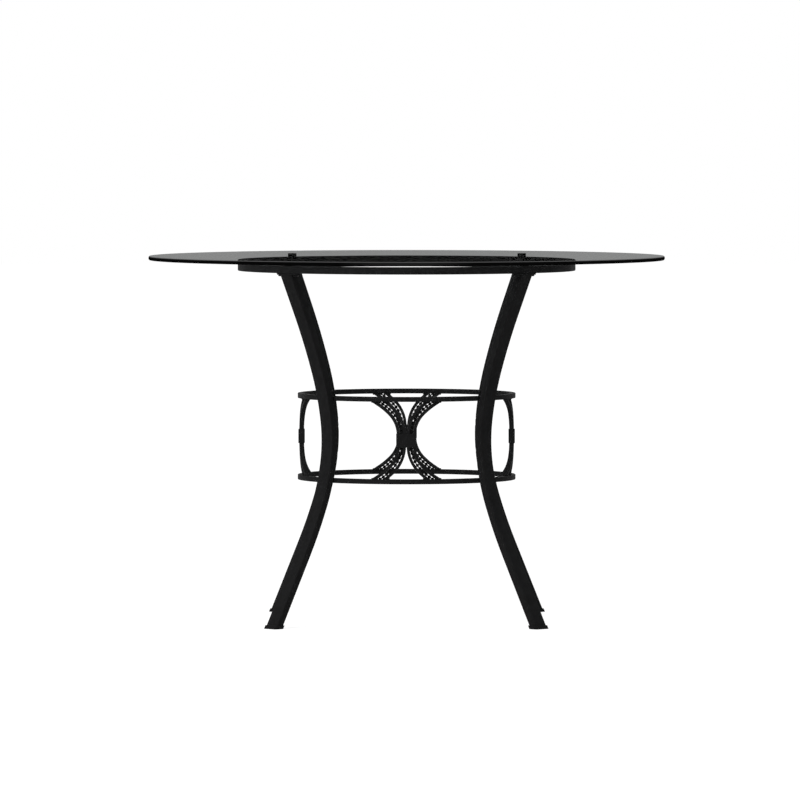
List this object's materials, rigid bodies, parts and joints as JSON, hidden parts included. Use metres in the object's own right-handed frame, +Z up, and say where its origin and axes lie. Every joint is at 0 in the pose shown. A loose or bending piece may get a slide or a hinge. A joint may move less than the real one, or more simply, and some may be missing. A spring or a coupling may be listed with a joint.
{
  "type": "round dining table",
  "caption": "Round dining table with a loose clear glass top on a black bent-tube base with hoops and twisted scroll panels.",
  "frame": {"origin": "on the floor, under the middle of the table top", "axes": "+Z up; -Y is the front, the side with the panel that the picture faces; the legs stand on the diagonals"},
  "size_m": [1.0669, 1.067, 0.754],
  "materials": {
    "clear_glass": "clear tempered glass, 8 mm, with a polished flat edge and small bright arrises",
    "frame_paint": "black semi-gloss powder coat with a very fine orange peel",
    "pad_rubber": "soft black rubber, dull",
    "cap_plastic": "black moulded plastic, fine matt texture",
    "screw_black": "black oxide steel, slightly shiny",
    "nut_zinc": "bright zinc plate"
  },
  "bodies": {
    "frame": {"top_ring": "frame_paint", "glass_pad_front_left": "pad_rubber", "glass_pad_front_right": "pad_rubber", "glass_pad_back_right": "pad_rubber", "glass_pad_back_left": "pad_rubber", "leg_front_left": "frame_paint", "leg_front_right": "frame_paint", "leg_back_right": "frame_paint", "leg_back_left": "frame_paint", "leg_plate_front_left": "frame_paint", "leg_plate_front_right": "frame_paint", "leg_plate_back_right": "frame_paint", "leg_plate_back_left": "frame_paint", "foot_cap_front_left": "cap_plastic", "foot_cap_front_right": "cap_plastic", "foot_cap_back_right": "cap_plastic", "foot_cap_back_left": "cap_plastic", "upper_hoop": "frame_paint", "lower_hoop": "frame_paint", "plate_screws": "screw_black", "hoop_screws": "screw_black", "ring_rivet_nuts": "nut_zinc", "scroll_front_left_near_bar": "frame_paint", "scroll_front_left_far_bar": "frame_paint", "scroll_front_left_ribbon": "frame_paint", "scroll_front_right_near_bar": "frame_paint", "scroll_front_right_far_bar": "frame_paint", "scroll_front_right_ribbon": "frame_paint", "scroll_right_left_near_bar": "frame_paint", "scroll_right_left_far_bar": "frame_paint", "scroll_right_left_ribbon": "frame_paint", "scroll_right_right_near_bar": "frame_paint", "scroll_right_right_far_bar": "frame_paint", "scroll_right_right_ribbon": "frame_paint", "scroll_back_left_near_bar": "frame_paint", "scroll_back_left_far_bar": "frame_paint", "scroll_back_left_ribbon": "frame_paint", "scroll_back_right_near_bar": "frame_paint", "scroll_back_right_far_bar": "frame_paint", "scroll_back_right_ribbon": "frame_paint", "scroll_left_left_near_bar": "frame_paint", "scroll_left_left_far_bar": "frame_paint", "scroll_left_left_ribbon": "frame_paint", "scroll_left_right_near_bar": "frame_paint", "scroll_left_right_far_bar": "frame_paint", "scroll_left_right_ribbon": "frame_paint", "collar_front": "frame_paint", "collar_right": "frame_paint", "collar_back": "frame_paint", "collar_left": "frame_paint"},
    "glass": {"glass_top": "clear_glass"}
  },
  "joints": [
    {"name": "glass_lift", "type": "slide", "parent": "frame", "child": "glass", "axis": [0, 0, 1], "range_m": [0, 0.1]}
  ]
}
